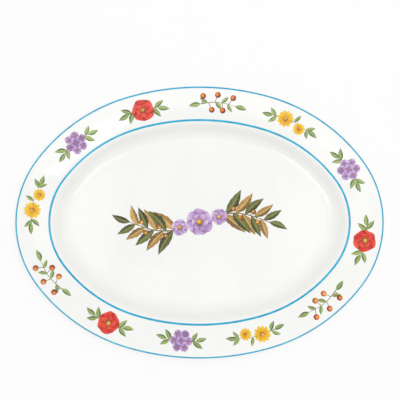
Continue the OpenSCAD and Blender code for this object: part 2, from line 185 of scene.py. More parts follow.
def sweepOval(profile, closed=False):                 # profile of (distance in from the lip, height)
    bm = bmesh.new()
    centre, radius, first, turn, steps = ovalArcs[0]
    outward = Vector((math.cos(first), math.sin(first)))
    verts = []
    for depth, height in profile:
        corner = centre + (radius - depth) * outward
        verts.append(bm.verts.new((corner.x * mm, corner.y * mm, height * mm)))
    after = verts[1:] + verts[:1] if closed else verts[1:]
    ring = verts + [bm.edges.new(pair) for pair in zip(verts, after)]
    for centre, radius, first, turn, steps in ovalArcs:
        spun = bmesh.ops.spin(bm, geom=ring, cent=(centre.x * mm, centre.y * mm, 0), axis=(0, 0, 1),
                              angle=turn, steps=steps, use_merge=False)
        ring = spun["geom_last"]
    bmesh.ops.remove_doubles(bm, verts=bm.verts, dist=oval["seamGap"] * mm)
    if not closed:                                    # close the flat middle
        bmesh.ops.holes_fill(bm, edges=[e for e in bm.edges if e.is_boundary], sides=0)
    bmesh.ops.recalc_face_normals(bm, faces=bm.faces)
    return bm


# The section: rim, wall, floor, back and foot, with the distance in from the lip across and the height up

section = {
    "rimWidth": 39.5, "rimRise": 9, "wellDepth": 15, "wallRun": 12, "wall": 4.4, "floor": 5,
    "lipRadius": 1.8, "vergeRadius": 8, "floorRadius": 18.5, "underRimRadius": 8, "baseRadius": 13,
    "footInset": 60.5, "footWidth": 4, "footHeight": 3, "footDraft": 0.6, "footEdge": 0.7,
    "footFillet": 1.6, "glaze": 0.25, "bareHeight": 1, "floorLap": 8, "arcStep": 6,
}


def leftOf(way):
    return Vector((-way.y, way.x)).normalized()


def meet(p, u, q, v):                                 # where two lines cross
    return p + u * ((q - p).cross(v) / u.cross(v))


def roundedPath(corners):                             # each corner is (point, radius)
    path = []
    for i, (point, radius) in enumerate(corners):
        if radius == 0:
            path.append(point)
            continue
        back = (corners[i - 1][0] - point).normalized()
        on = (corners[i + 1][0] - point).normalized()
        half = back.angle(on) / 2
        centre = point + (back + on).normalized() * (radius / math.sin(half))
        first = point + back * (radius / math.tan(half)) - centre
        sweep = math.copysign(math.pi - 2 * half, on.cross(back))
        steps = max(2, math.ceil(abs(sweep) / math.radians(section["arcStep"])))
        path += [centre + Matrix.Rotation(sweep * k / steps, 2) @ first for k in range(steps + 1)]
    return path


def offsetPath(path, distance):                       # a path moved off its surface
    moved = []
    for i, point in enumerate(path):
        way = path[min(i + 1, len(path) - 1)] - path[max(i - 1, 0)]
        moved.append(point + distance * leftOf(way))
    return moved


baseZ = section["footHeight"]
floorZ = baseZ + section["floor"]
vergeZ = floorZ + section["wellDepth"]
footInner = section["footInset"] + section["footWidth"] + 2 * section["footDraft"]
floorReach = footInner + section["footFillet"] + section["floorLap"]
bareDraft = section["footDraft"] * (1 - section["bareHeight"] / section["footHeight"])
rimWay = Vector((section["rimWidth"], -section["rimRise"]))
wallWay = Vector((section["wallRun"], -section["wellDepth"]))
verge = Vector((section["rimWidth"], vergeZ))
rimBack = verge - section["wall"] * leftOf(rimWay)
wallBack = verge - section["wall"] * leftOf(wallWay)
lipEdge = Vector((section["glaze"], vergeZ + section["rimRise"]))
upright, level = Vector((0, 1)), Vector((1, 0))
lipTop = meet(lipEdge, upright, verge, rimWay)
lipUnder = meet(lipEdge, upright, rimBack, rimWay)
rimSlope = math.atan2(section["rimRise"], section["rimWidth"])
topShare = math.tan(math.pi / 4 - rimSlope / 2)
lipShare = topShare / (topShare + math.tan(math.pi / 4 + rimSlope / 2))
lipMiddle = lipUnder.lerp(lipTop, lipShare)           # where the lip's two roundings meet
underRim = meet(rimBack, rimWay, wallBack, wallWay)
backFoot = meet(wallBack, wallWay, Vector((0, baseZ)), level)

facePath = roundedPath([
    (lipMiddle, 0), (lipTop, section["lipRadius"]), (verge, section["vergeRadius"]),
    (verge + wallWay, section["floorRadius"]), (Vector((floorReach, floorZ)), 0)])
backPath = roundedPath([
    (Vector((section["footInset"] + bareDraft, section["bareHeight"])), 0),
    (Vector((section["footInset"], baseZ)), section["footFillet"]), (backFoot, section["baseRadius"]),
    (underRim, section["underRimRadius"]), (lipUnder, section["lipRadius"]), (lipMiddle, 0)])
basePath = roundedPath([
    (Vector((floorReach, baseZ)), 0), (Vector((footInner, baseZ)), section["footFillet"]),
    (Vector((footInner - bareDraft, section["bareHeight"])), 0)])
footPath = roundedPath([
    (basePath[-1], 0), (Vector((footInner - section["footDraft"], 0)), section["footEdge"]),
    (Vector((section["footInset"] + section["footDraft"], 0)), section["footEdge"]), (backPath[0], 0)])
outerPath = backPath + facePath[1:]
glazedFace = offsetPath(facePath, section["glaze"])


def glazedHeight(depth):                              # height of the glazed face at a distance in
    for before, after in zip(glazedFace, glazedFace[1:]):
        if depth <= after.x:
            return before.y + (after.y - before.y) * (depth - before.x) / (after.x - before.x)
    return glazedFace[-1].y


def faceBand(start, end, thickness):                  # closed section of a band on the glazed face
    path = [Vector((start, glazedHeight(start)))]
    path += [p for p in glazedFace if start < p.x < end]
    path.append(Vector((end, glazedHeight(end))))
    return path + offsetPath(path, thickness)[::-1]


# Porcelain body: bare only on the foot ring

ceramicIor = 1.5                                      # typical of porcelain, glaze and enamel

# the grain is drawn coarser than real, so that it shows
biscuit = {"stops": [(0.35, "#E2DFD6"), (0.65, "#EFECE4")], "cloud": 18, "rough": 0.62,
           "grain": 0.8, "grainDepth": 0.05, "grainStrength": 0.5, "scuff": "#BDB8AD", "scuffHeight": 0.35}


def barePorcelain():                                  # unglazed porcelain: matt, fine grained, cream white
    material = newMaterial("barePorcelain")
    place = addNode(material, "ShaderNodeTexCoord").outputs["Object"]
    grain = addNode(material, "ShaderNodeTexNoise", {},
                    {"Vector": place, "Scale": perMetre(biscuit["grain"]), "Detail": 3.0})
    cloud = addNode(material, "ShaderNodeTexNoise", {},
                    {"Vector": place, "Scale": perMetre(biscuit["cloud"]), "Detail": 2.0})
    clay = addNode(material, "ShaderNodeValToRGB", {"stops": biscuit["stops"]},
                   {"Fac": cloud.outputs["Fac"]})
    height = addNode(material, "ShaderNodeSeparateXYZ", {}, {"Vector": place})
    worn = addNode(material, "ShaderNodeMapRange", {},    # grey scuffs where the foot meets the table
                   {"Value": height.outputs["Z"], "From Min": biscuit["scuffHeight"] * mm, "From Max": 0.0})
    scuffed = addNode(material, "ShaderNodeMath", {"operation": "MULTIPLY"},
                      {0: worn.outputs["Result"], 1: grain.outputs["Fac"]})
    colour = addNode(material, "ShaderNodeMix", {"data_type": "RGBA"},
                     {0: scuffed.outputs[0], mixA: clay.outputs["Color"],
                      mixB: hexColour(biscuit["scuff"])})
    bump = addNode(material, "ShaderNodeBump", {},
                   {"Height": grain.outputs["Fac"], "Strength": biscuit["grainStrength"],
                    "Distance": biscuit["grainDepth"] * mm})
    shader = addNode(material, "ShaderNodeBsdfPrincipled", {},
                     {"Base Color": colour.outputs[mixOut], "Roughness": biscuit["rough"],
                      "IOR": ceramicIor, "Normal": bump.outputs["Normal"]})
    addNode(material, "ShaderNodeOutputMaterial", {}, {"Surface": shader.outputs["BSDF"]})
    return material


bodyProfile = outerPath[::-1] + footPath[-2:0:-1] + basePath[::-1]
finishPiece(sweepOval(bodyProfile), "porcelainBody", barePorcelain(), "porcelain_body")


# Clear glaze: a thin shell over everything but the foot ring

glaze = {"stops": [(0.4, "#F6F7F4"), (0.6, "#F8F8F5")], "cloud": 60,
         "speck": "#CFC9BC", "speckGap": 16, "speckSize": 0.35, "speckDepth": 0.5,
         "pool": 34, "swirl": 0.4, "ripple": 11, "rippleShare": 0.15, "wave": 0.22,
         "gloss": {"From Min": 0.3, "From Max": 0.7, "To Min": 0.05, "To Max": 0.1}}


def glazedPorcelain():                                # porcelain under clear glaze: white, glassy, wavy
    material = newMaterial("glazedPorcelain")
    place = addNode(material, "ShaderNodeTexCoord").outputs["Object"]
    cloud = addNode(material, "ShaderNodeTexNoise", {},
                    {"Vector": place, "Scale": perMetre(glaze["cloud"]), "Detail": 2.0})
    white = addNode(material, "ShaderNodeValToRGB", {"stops": glaze["stops"]}, {"Fac": cloud.outputs["Fac"]})
    specks = addNode(material, "ShaderNodeTexVoronoi", {},
                     {"Vector": place, "Scale": perMetre(glaze["speckGap"])})
    speckEdge = glaze["speckSize"] / glaze["speckGap"]    # kiln specks, a few to the hand's breadth
    speck = addNode(material, "ShaderNodeMapRange", {},
                    {"Value": specks.outputs["Distance"], "From Min": speckEdge, "From Max": speckEdge / 2,
                     "To Max": glaze["speckDepth"]})
    colour = addNode(material, "ShaderNodeMix", {"data_type": "RGBA"},
                     {0: speck.outputs["Result"], mixA: white.outputs["Color"],
                      mixB: hexColour(glaze["speck"])})
    pool = addNode(material, "ShaderNodeTexNoise", {},
                   {"Vector": place, "Scale": perMetre(glaze["pool"]), "Detail": 1.0,
                    "Distortion": glaze["swirl"]})
    ripple = addNode(material, "ShaderNodeTexNoise", {},
                     {"Vector": place, "Scale": perMetre(glaze["ripple"]), "Detail": 1.0})
    surface = addNode(material, "ShaderNodeMath", {"operation": "MULTIPLY_ADD"},
                      {0: ripple.outputs["Fac"], 1: glaze["rippleShare"], 2: pool.outputs["Fac"]})
    bump = addNode(material, "ShaderNodeBump", {},
                   {"Height": surface.outputs[0], "Strength": 1.0, "Distance": glaze["wave"] * mm})
    gloss = addNode(material, "ShaderNodeMapRange", {}, {"Value": cloud.outputs["Fac"], **glaze["gloss"]})
    shader = addNode(material, "ShaderNodeBsdfPrincipled", {},
                     {"Base Color": colour.outputs[mixOut], "Roughness": gloss.outputs["Result"],
                      "IOR": ceramicIor, "Normal": bump.outputs["Normal"]})
    addNode(material, "ShaderNodeOutputMaterial", {}, {"Surface": shader.outputs["BSDF"]})
    return material


porcelain = glazedPorcelain()
glazeProfile = offsetPath(outerPath, section["glaze"])[::-1] + outerPath
finishPiece(sweepOval(glazeProfile), "glazeCoat", porcelain, "glaze_coat")
baseProfile = basePath + offsetPath(basePath, section["glaze"])[::-1]
finishPiece(sweepOval(baseProfile), "baseGlaze", porcelain, "base_glaze")


# Blue enamel lines on the lip and on the verge

lines = {"lipStart": 0.3, "lipWidth": 1.7, "vergeLead": 3.9, "vergeWidth": 2.2, "enamel": 0.1,
         "stops": [(0.5, "#0099C2"), (0.7, "#0AACD4"), (0.95, "#26BADB")], "stroke": 9,
         "fleck": 1.2, "fleckShare": 0.4, "gloss": {"To Min": 0.04, "To Max": 0.12}}


def enamelGloss(material, colour, grain, gloss):      # closes an enamel, whose gloss follows its grain
    shine = addNode(material, "ShaderNodeMapRange", {}, {"Value": grain, **gloss})
    shader = addNode(material, "ShaderNodeBsdfPrincipled", {},
                     {"Base Color": colour, "Roughness": shine.outputs["Result"], "IOR": ceramicIor})
    addNode(material, "ShaderNodeOutputMaterial", {}, {"Surface": shader.outputs["BSDF"]})
    return material


def bandedBlue():                                     # sky blue enamel, banded on a wheel: glossy, uneven
    material = newMaterial("bandedBlueEnamel")
    place = addNode(material, "ShaderNodeTexCoord").outputs["Object"]
    stroke = addNode(material, "ShaderNodeTexNoise", {},
                     {"Vector": place, "Scale": perMetre(lines["stroke"]), "Detail": 3.0})
    fleck = addNode(material, "ShaderNodeTexNoise", {},
                    {"Vector": place, "Scale": perMetre(lines["fleck"]), "Detail": 2.0})
    both = addNode(material, "ShaderNodeMath", {"operation": "MULTIPLY_ADD"},
                   {0: fleck.outputs["Fac"], 1: lines["fleckShare"], 2: stroke.outputs["Fac"]})
    colour = addNode(material, "ShaderNodeValToRGB", {"stops": lines["stops"]}, {"Fac": both.outputs[0]})
    return enamelGloss(material, colour.outputs["Color"], stroke.outputs["Fac"], lines["gloss"])


blueEnamel = bandedBlue()
lipEnd = lines["lipStart"] + lines["lipWidth"]
vergeStart = section["rimWidth"] - lines["vergeLead"]
lipBand = faceBand(lines["lipStart"], lipEnd, lines["enamel"])
finishPiece(sweepOval(lipBand, closed=True), "lipLine", blueEnamel, "lip_line")
vergeBand = faceBand(vergeStart, vergeStart + lines["vergeWidth"], lines["enamel"])
finishPiece(sweepOval(vergeBand, closed=True), "vergeLine", blueEnamel, "verge_line")


# Printed flowers: each patch of colour is drawn flat in millimetres, placed, and laid on the glaze

closeGap = 0.02                                       # points of a drawing nearer than this become one
upward = math.radians(90)                             # the +Y of a drawing
leafShape = {"lean": 0.85, "waviness": 0.05, "waves": 9}
petalShape = {"foot": 0.7, "flare": 0.5, "ruffles": 3, "lastPhase": 6}


def newDrawing():
    bm = bmesh.new()
    bm.loops.layers.uv.new("paint")
    bm.verts.layers.float.new("tone")
    return bm


def addPatch(bm, outline, matrix, grid, tone=0.5):    # outline takes (share along, -1 to 1 across)
    verts = bmesh.ops.create_grid(bm, x_segments=grid[0], y_segments=grid[1], size=0.5)["verts"]
    paint, shade = bm.loops.layers.uv["paint"], bm.verts.layers.float["tone"]
    for loop in [loop for vert in verts for loop in vert.link_loops]:
        loop[paint].uv = (loop.vert.co.x + 0.5, loop.vert.co.y + 0.5)
    for vert in verts:
        vert[shade] = tone
        x, y = outline(vert.co.x + 0.5, 2 * vert.co.y)
        vert.co = (x, y, 0)
    bmesh.ops.remove_doubles(bm, verts=verts, dist=closeGap)   # pointed ends close to one vertex
    bmesh.ops.transform(bm, matrix=matrix, verts=[v for v in verts if v.is_valid])


def addDot(bm, radius, matrix, tone, segments=20):
    verts = bmesh.ops.create_circle(bm, segments=segments, radius=radius,
                                    cap_ends=True, cap_tris=True)["verts"]
    paint, shade = bm.loops.layers.uv["paint"], bm.verts.layers.float["tone"]
    for loop in [loop for vert in verts for loop in vert.link_loops]:
        loop[paint].uv = (loop.vert.co.x / radius / 2 + 0.5, loop.vert.co.y / radius / 2 + 0.5)
    for vert in verts:
        vert[shade] = tone
    bmesh.ops.transform(bm, matrix=matrix, verts=verts)


def spot(x, y, turn=0.0, lift=0.0):                   # a place in a drawing, turned in radians
    return Matrix.Translation((x, y, lift)) @ Matrix.Rotation(turn, 4, "Z")


def leafOutline(length, width, bend=0.0):             # pointed leaf along +X, widest before its middle
    def outline(s, t):
        wavy = 1 + leafShape["waviness"] * math.sin(leafShape["waves"] * math.pi * s)
        half = width / 2 * math.sin(math.pi * s ** leafShape["lean"]) * wavy
        return length * s, t * half + bend * math.sin(math.pi * s)
    return outline


def petalOutline(start, reach, half, ruffle, phase):  # round petal along +X, with a ruffled tip
    def outline(s, t):
        u = 0.5 - 0.5 * math.cos(math.pi * s)
        swell = math.sin(math.pi * s)                 # none at either end, where the petal closes
        wave = ruffle * reach * u ** 2 * math.cos(petalShape["ruffles"] * t * swell + phase)
        side = t * half * swell * (petalShape["foot"] + petalShape["flare"] * u)
        return start + (reach - start) * u + wave, side
    return outline


def bowed(start, end, bow, t):                        # point and heading on a bowed line
    way = end - start
    point = start + t * way + bow * math.sin(math.pi * t) * leftOf(way)
    heading = way + bow * math.pi * math.cos(math.pi * t) * leftOf(way)
    return point, math.atan2(heading.y, heading.x)


def stemOutline(start, end, bow, width, taper=0.6):
    def outline(s, t):
        point, heading = bowed(start, end, bow, s)
        side = t * width / 2 * (1 - taper * s)
        return point.x - side * math.sin(heading), point.y + side * math.cos(heading)
    return outline


def standOff(start, end, bow, t, stand):              # end of a stalk beside a bowed line
    point, heading = bowed(start, end, bow, t)
    return point + stand * Vector((-math.sin(heading), math.cos(heading)))


def layPrint(bm, name, material, node, thickness, onRim):
    for vert in bm.verts:
        x, y, lift = vert.co
        height = glazedHeight(depthAt(x, y)) if onRim else glazedFace[-1].y
        vert.co = (x * mm, y * mm, (height + lift) * mm)
    bm.normal_update()
    bmesh.ops.reverse_faces(bm, faces=[f for f in bm.faces if f.normal.z < 0])
    piece = finishPiece(bm, name, material, node)
    skin = piece.modifiers.new("enamelThickness", "SOLIDIFY")
    skin.thickness = thickness * mm
    skin.offset = -1


petalPaint = {"stretch": 1.2, "seeds": 40.0, "toneShare": 0.3, "span": 1.5,
              "fold": {"From Min": 0.3, "From Max": 0.5}, "gloss": {"To Min": 0.1, "To Max": 0.24}}


def petalEnamel(look):                                # brushed enamel, deep at the heart, light at the tip
    material = newMaterial(look["name"])
    uv = addNode(material, "ShaderNodeUVMap", {"uv_map": "paint"}).outputs["UV"]
    tone = addNode(material, "ShaderNodeAttribute", {"attribute_name": "tone"}).outputs["Fac"]
    split = addNode(material, "ShaderNodeSeparateXYZ", {}, {"Vector": uv})
    stretched = addNode(material, "ShaderNodeMapping", {},
                        {"Vector": uv, "Scale": (petalPaint["stretch"], look["streaks"], 1.0)})
    seed = addNode(material, "ShaderNodeMath", {"operation": "MULTIPLY"},
                   {0: tone, 1: petalPaint["seeds"]})
    streak = addNode(material, "ShaderNodeTexNoise", {"noise_dimensions": "4D"},
                     {"Vector": stretched.outputs["Vector"], "W": seed.outputs[0],
                      "Scale": 1.0, "Detail": 3.0})
    along = addNode(material, "ShaderNodeMath", {"operation": "MULTIPLY_ADD"},
                    {0: streak.outputs["Fac"], 1: look["streakDepth"], 2: split.outputs["X"]})
    wash = addNode(material, "ShaderNodeMath", {"operation": "MULTIPLY_ADD"},
                   {0: tone, 1: petalPaint["toneShare"], 2: along.outputs[0]})
    level = addNode(material, "ShaderNodeMapRange", {},
                    {"Value": wash.outputs[0], "From Max": petalPaint["span"]})
    colour = addNode(material, "ShaderNodeValToRGB", {"stops": look["stops"]},
                     {"Fac": level.outputs["Result"]})
    middle = addNode(material, "ShaderNodeMath", {"operation": "SUBTRACT"}, {0: split.outputs["Y"], 1: 0.5})
    across = addNode(material, "ShaderNodeMath", {"operation": "ABSOLUTE"}, {0: middle.outputs[0]})
    fold = addNode(material, "ShaderNodeMapRange", {"interpolation_type": "SMOOTHSTEP"},
                   {"Value": across.outputs[0], "To Max": look["edge"], **petalPaint["fold"]})
    shaded = addNode(material, "ShaderNodeMix", {"data_type": "RGBA"},
                     {0: fold.outputs["Result"], mixA: colour.outputs["Color"],
                      mixB: hexColour(look["edgeColour"])})
    return enamelGloss(material, shaded.outputs[mixOut], streak.outputs["Fac"], petalPaint["gloss"])


leafPaint = {"shade": {"From Min": 0.38, "From Max": 0.62, "To Min": 0.0, "To Max": 0.4},
             "brushShare": 0.7, "toneShare": 0.3, "span": 1.2, "slant": -0.5,
             "sideVein": {"From Min": 0.75, "From Max": 1.0, "To Max": 0.4},
             "midrib": {"From Min": 0.12, "From Max": 0.03, "To Max": 0.85},
             "gloss": {"To Min": 0.1, "To Max": 0.26}}


def leafEnamel(look):                                 # brushed enamel: pale midrib and veins, a shaded half
    material = newMaterial(look["name"])
    uv = addNode(material, "ShaderNodeUVMap", {"uv_map": "paint"}).outputs["UV"]
    tone = addNode(material, "ShaderNodeAttribute", {"attribute_name": "tone"}).outputs["Fac"]
    place = addNode(material, "ShaderNodeTexCoord").outputs["Object"]
    split = addNode(material, "ShaderNodeSeparateXYZ", {}, {"Vector": uv})
    brush = addNode(material, "ShaderNodeTexNoise", {},
                    {"Vector": place, "Scale": perMetre(look["brush"]), "Detail": 3.0})
    middle = addNode(material, "ShaderNodeMath", {"operation": "SUBTRACT"}, {0: split.outputs["Y"], 1: 0.5})
    across = addNode(material, "ShaderNodeMath", {"operation": "ABSOLUTE"}, {0: middle.outputs[0]})
    half = addNode(material, "ShaderNodeMapRange", {"interpolation_type": "SMOOTHSTEP"},
                   {"Value": split.outputs["Y"], **leafPaint["shade"]})
    lit = addNode(material, "ShaderNodeMath", {"operation": "MULTIPLY_ADD"},
                  {0: brush.outputs["Fac"], 1: leafPaint["brushShare"], 2: half.outputs["Result"]})
    wash = addNode(material, "ShaderNodeMath", {"operation": "MULTIPLY_ADD"},
                   {0: tone, 1: leafPaint["toneShare"], 2: lit.outputs[0]})
    level = addNode(material, "ShaderNodeMapRange", {},
                    {"Value": wash.outputs[0], "From Max": leafPaint["span"]})
    blade = addNode(material, "ShaderNodeValToRGB", {"stops": look["stops"]},
                    {"Fac": level.outputs["Result"]})
    slant = addNode(material, "ShaderNodeMath", {"operation": "MULTIPLY_ADD"},
                    {0: across.outputs[0], 1: leafPaint["slant"], 2: split.outputs["X"]})
    waves = addNode(material, "ShaderNodeMath", {"operation": "MULTIPLY"},
                    {0: slant.outputs[0], 1: 2 * math.pi * look["veins"]})
    wave = addNode(material, "ShaderNodeMath", {"operation": "SINE"}, {0: waves.outputs[0]})
    sideVein = addNode(material, "ShaderNodeMapRange", {},
                       {"Value": wave.outputs[0], **leafPaint["sideVein"]})
    midrib = addNode(material, "ShaderNodeMapRange", {},
                     {"Value": across.outputs[0], **leafPaint["midrib"]})
    vein = addNode(material, "ShaderNodeMath", {"operation": "MAXIMUM"},
                   {0: sideVein.outputs["Result"], 1: midrib.outputs["Result"]})
    colour = addNode(material, "ShaderNodeMix", {"data_type": "RGBA"},
                     {0: vein.outputs[0], mixA: blade.outputs["Color"], mixB: hexColour(look["vein"])})
    return enamelGloss(material, colour.outputs[mixOut], brush.outputs["Fac"], leafPaint["gloss"])


dotPaint = {"toneShare": 0.2, "gloss": {"To Min": 0.08, "To Max": 0.22}}


def dotEnamel(look):                                  # enamel drop: light to one side, dark round its edge
    material = newMaterial(look["name"])
    uv = addNode(material, "ShaderNodeUVMap", {"uv_map": "paint"}).outputs["UV"]
    tone = addNode(material, "ShaderNodeAttribute", {"attribute_name": "tone"}).outputs["Fac"]
    place = addNode(material, "ShaderNodeTexCoord").outputs["Object"]
    stipple = addNode(material, "ShaderNodeTexNoise", {},
                      {"Vector": place, "Scale": perMetre(look["stipple"]), "Detail": 2.0})
    away = addNode(material, "ShaderNodeVectorMath", {"operation": "DISTANCE"}, {0: uv, 1: look["light"]})
    ball = addNode(material, "ShaderNodeMath", {"operation": "MULTIPLY_ADD"},
                   {0: stipple.outputs["Fac"], 1: look["stippleDepth"], 2: away.outputs["Value"]})
    wash = addNode(material, "ShaderNodeMath", {"operation": "MULTIPLY_ADD"},
                   {0: tone, 1: dotPaint["toneShare"], 2: ball.outputs[0]})
    colour = addNode(material, "ShaderNodeValToRGB", {"stops": look["stops"]}, {"Fac": wash.outputs[0]})
    return enamelGloss(material, colour.outputs["Color"], stipple.outputs["Fac"], dotPaint["gloss"])


stemPaint = {"edgeShare": 0.5, "gloss": {"To Min": 0.12, "To Max": 0.26}}


def stemEnamel(look):                                 # brushed brown enamel: darker along one edge
    material = newMaterial(look["name"])
    uv = addNode(material, "ShaderNodeUVMap", {"uv_map": "paint"}).outputs["UV"]
    place = addNode(material, "ShaderNodeTexCoord").outputs["Object"]
    split = addNode(material, "ShaderNodeSeparateXYZ", {}, {"Vector": uv})
    brush = addNode(material, "ShaderNodeTexNoise", {},
                    {"Vector": place, "Scale": perMetre(look["brush"]), "Detail": 3.0})
    wash = addNode(material, "ShaderNodeMath", {"operation": "MULTIPLY_ADD"},
                   {0: split.outputs["Y"], 1: stemPaint["edgeShare"], 2: brush.outputs["Fac"]})
    colour = addNode(material, "ShaderNodeValToRGB", {"stops": look["stops"]}, {"Fac": wash.outputs[0]})
    return enamelGloss(material, colour.outputs["Color"], brush.outputs["Fac"], stemPaint["gloss"])


# Rim sprigs: red blossoms, lilac posies, daisies and hips in turn, each along a bowed stem

sprigs = {"count": 12, "kinds": ["red", "lilac", "daisy", "hip"], "drop": 1, "bow": 3,
          "half": {"red": 16, "lilac": 16, "daisy": 21, "hip": 19}}

printDepth = (lipEnd + vergeStart) / 2
printRun = sum((radius - printDepth) * turn for centre, radius, first, turn, steps in ovalArcs)
sprigPitch = printRun / sprigs["count"]


def sprigPlaces(kind):                                # the drawing's +Y points to the lip
    places = []
    for i in range(sprigs["kinds"].index(kind), sprigs["count"], len(sprigs["kinds"])):
        point, normal = alongOval((i + 0.5) * sprigPitch, printDepth)
        places.append(spot(point.x, point.y, normal - math.pi / 2))
    return places


def sprigStem(kind):
    half = sprigs["half"][kind]
    return Vector((-half, -sprigs["drop"])), Vector((half, -sprigs["drop"])), sprigs["bow"]


rimStems = {"name": "brownEnamel", "width": 0.9, "lift": 0.04, "thickness": 0.06, "stalkLead": 0.07,
            "grid": (16, 2), "stalkGrid": (6, 2), "brush": 2,
            "stops": [(0.4, "#5A4A22"), (0.7, "#7C6A33"), (1.0, "#9C8A4C")]}
peachHips = {"name": "hipEnamel", "radius": 3.2, "stand": 8, "shares": [0.1, 0.3, 0.48, 0.68, 0.88],
             "lift": 0.1, "thickness": 0.12, "seed": 5, "light": (0.36, 0.62, 0.0),
             "stipple": 0.8, "stippleDepth": 0.12,
             "stops": [(0.12, "#FBD9A0"), (0.26, "#F3A24B"), (0.48, "#E0752F"), (0.74, "#8E2A22")]}

hipPlaces = []
for i, share in enumerate(peachHips["shares"]):
    side = 1 if i % 2 == 0 else -1
    hipPlaces.append(standOff(*sprigStem("hip"), share, side * peachHips["stand"]))

brownEnamel = stemEnamel(rimStems)
bm = newDrawing()
for kind in sprigs["kinds"]:
    for place in sprigPlaces(kind):
        lifted = place @ spot(0, 0, 0, rimStems["lift"])
        addPatch(bm, stemOutline(*sprigStem(kind), rimStems["width"]), lifted, rimStems["grid"])
        if kind == "hip":
            for share, hip in zip(peachHips["shares"], hipPlaces):
                foot = bowed(*sprigStem(kind), share - rimStems["stalkLead"])[0]
                addPatch(bm, stemOutline(foot, hip, 0, rimStems["width"]), lifted, rimStems["stalkGrid"])
layPrint(bm, "rimStems", brownEnamel, "rim_stems", rimStems["thickness"], True)

# the leaves of each kind of sprig: share of the stem, angle to the stem, and size
rimLeaves = {"name": "leafEnamel", "length": 17, "width": 6.5, "bend": 0.8, "lift": 0.06, "spread": 0.03,
             "thickness": 0.1, "grid": (12, 4), "seed": 11, "brush": 3, "veins": 5, "vein": "#B9C67F",
             "stops": [(0.2, "#3F5B22"), (0.46, "#5F7F33"), (0.7, "#86A04C"), (0.92, "#A9BA6A")],
             "red": [(0, 180, 0.8), (0.1, 138, 0.75), (0.16, 226, 0.8),
                     (1, 0, 0.8), (0.9, 42, 0.75), (0.84, -46, 0.8)],
             "lilac": [(0, 180, 0.75), (0.1, 134, 0.8), (0.14, 224, 0.7),
                       (1, 0, 0.75), (0.9, 44, 0.7), (0.86, -44, 0.8)],
             "daisy": [(0, 180, 0.75), (0.08, 136, 0.65), (0.1, 226, 0.7), (0.58, 70, 0.6),
                       (1, 0, 0.75), (0.94, 46, 0.65), (0.95, -46, 0.6)],
             "hip": [(0, 180, 0.8), (0.2, 140, 0.6), (0.42, -50, 0.65),
                     (0.6, 48, 0.6), (0.78, -44, 0.6), (1, 0, 0.8)]}

draw = random.Random(rimLeaves["seed"])
bm = newDrawing()
for kind in sprigs["kinds"]:
    for place in sprigPlaces(kind):
        for share, angle, size in rimLeaves[kind]:
            foot, heading = bowed(*sprigStem(kind), share)
            turn = heading + math.radians(angle)
            lift = rimLeaves["lift"] + rimLeaves["spread"] * draw.random()
            bend = draw.uniform(-rimLeaves["bend"], rimLeaves["bend"])
            shape = leafOutline(rimLeaves["length"] * size, rimLeaves["width"] * size, bend)
            matrix = place @ spot(foot.x, foot.y, turn, lift)
            addPatch(bm, shape, matrix, rimLeaves["grid"], draw.random())
layPrint(bm, "rimLeaves", leafEnamel(rimLeaves), "rim_leaves", rimLeaves["thickness"], True)

redPetals = {"name": "redEnamel", "radius": 12, "count": 5, "start": 0.6, "half": 7.6, "ruffle": 0.06,
             "inner": 0.62, "lift": 0.12, "step": 0.016, "thickness": 0.28, "grid": (12, 8), "seed": 3,
             "streaks": 9.0, "streakDepth": 0.5, "edge": 0.55, "edgeColour": "#860A04",
             "stops": [(0.2, "#6A0500"), (0.4, "#B81006"), (0.64, "#DC1E0A"), (0.9, "#F0583A")]}

draw = random.Random(redPetals["seed"])
bm = newDrawing()
for place in sprigPlaces("red"):
    for ring, size in enumerate((1, redPetals["inner"])):     # an outer and an inner ring of petals
        for k in range(redPetals["count"]):
            turn = upward + (k + ring / 2) * 2 * math.pi / redPetals["count"]
            lift = redPetals["lift"] + (ring * redPetals["count"] + k) * redPetals["step"]
            phase = draw.uniform(0, petalShape["lastPhase"])
            shape = petalOutline(redPetals["start"], redPetals["radius"] * size, redPetals["half"] * size,
                                 redPetals["ruffle"], phase)
            addPatch(bm, shape, place @ spot(0, 0, turn, lift), redPetals["grid"], draw.random())
layPrint(bm, "redPetals", petalEnamel(redPetals), "red_petals", redPetals["thickness"], True)

lilacPetals = {"name": "lilacEnamel", "radius": 4.8, "count": 4, "start": 0.3, "half": 2.7, "ruffle": 0.04,
               "spread": 8, "ring": 6, "lift": 0.1, "step": 0.016, "thickness": 0.22, "grid": (8, 4),
               "seed": 8, "streaks": 6.0, "streakDepth": 0.4, "edge": 0.6, "edgeColour": "#764E92",
               "stops": [(0.22, "#5F3A77"), (0.44, "#9169A8"), (0.68, "#C3A1D1"), (0.9, "#E8D6EC")]}
floretPlaces = [Vector((0, 0))]
for k in range(lilacPetals["ring"]):
    angle = k * 2 * math.pi / lilacPetals["ring"]
    floretPlaces.append(lilacPetals["spread"] * Vector((math.cos(angle), math.sin(angle))))

draw = random.Random(lilacPetals["seed"])
bm = newDrawing()
for place in sprigPlaces("lilac"):
    for n, floret in enumerate(floretPlaces[::-1]):            # the middle floret lies on top
        start, tone = draw.uniform(0, math.pi / 2), draw.random()
        for k in range(lilacPetals["count"]):
            turn = start + k * 2 * math.pi / lilacPetals["count"]
            lift = lilacPetals["lift"] + (n + k / lilacPetals["count"]) * lilacPetals["step"]
            phase = draw.uniform(0, petalShape["lastPhase"])
            shape = petalOutline(lilacPetals["start"], lilacPetals["radius"], lilacPetals["half"],
                                 lilacPetals["ruffle"], phase)
            addPatch(bm, shape, place @ spot(floret.x, floret.y, turn, lift), lilacPetals["grid"], tone)
lilacEnamel = petalEnamel(lilacPetals)
layPrint(bm, "lilacPetals", lilacEnamel, "lilac_petals", lilacPetals["thickness"], True)

